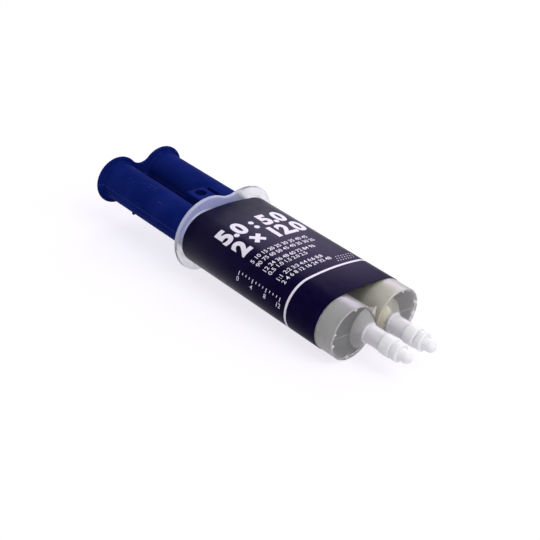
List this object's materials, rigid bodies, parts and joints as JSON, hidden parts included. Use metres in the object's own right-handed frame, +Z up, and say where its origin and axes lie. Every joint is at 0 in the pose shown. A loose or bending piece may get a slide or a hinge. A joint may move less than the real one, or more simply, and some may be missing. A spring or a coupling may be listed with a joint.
{
  "type": "epoxy syringe",
  "caption": "Twin-barrel epoxy syringe with a finger flange, a blue twin plunger, a wrapped dark label, snap-off nozzle tips and a reseal stopper held between the plunger tubes.",
  "frame": {"origin": "under the middle of the syringe's length, on the surface that the finger flange lies on", "axes": "+X along the barrels towards the nozzles, +Y across from the resin barrel to the hardener barrel, +Z up"},
  "size_m": [0.1468, 0.0452, 0.0288],
  "materials": {
    "barrel_plastic": "translucent natural polypropylene",
    "label_film": "glossy dark violet printed film",
    "plunger_plastic": "satin moulded deep blue",
    "piston_plastic": "natural polyethylene",
    "resin": "thick pale grey liquid",
    "hardener": "thick pale yellow liquid",
    "tip_plastic": "milky white polyethylene"
  },
  "bodies": {
    "barrel": {"barrel_body": "barrel_plastic", "label_sleeve": "label_film", "resin_fill": "resin", "hardener_fill": "hardener"},
    "plunger": {"twin_plunger": "plunger_plastic", "resin_piston": "piston_plastic", "hardener_piston": "piston_plastic"},
    "near_tip": {"resin_tip": "tip_plastic"},
    "far_tip": {"hardener_tip": "tip_plastic"},
    "stopper": {"reseal_stopper": "plunger_plastic"}
  },
  "joints": [
    {"name": "plunger_press", "type": "slide", "parent": "barrel", "child": "plunger", "axis": [1, 0, 0], "range_m": [0, 0.0474], "deforming": ["resin_fill", "hardener_fill"]},
    {"name": "near_tip_pull", "type": "slide", "parent": "barrel", "child": "near_tip", "axis": [1, 0, 0], "range_m": [0, 0.015]},
    {"name": "far_tip_pull", "type": "slide", "parent": "barrel", "child": "far_tip", "axis": [1, 0, 0], "range_m": [0, 0.015]},
    {"name": "stopper_lift", "type": "slide", "parent": "barrel", "child": "stopper", "axis": [0, 0, 1], "range_m": [0, 0.0237]}
  ],
  "couplings": [
    {"joint": "stopper_lift", "follows": "plunger_press", "ratio": 0.5}
  ]
}
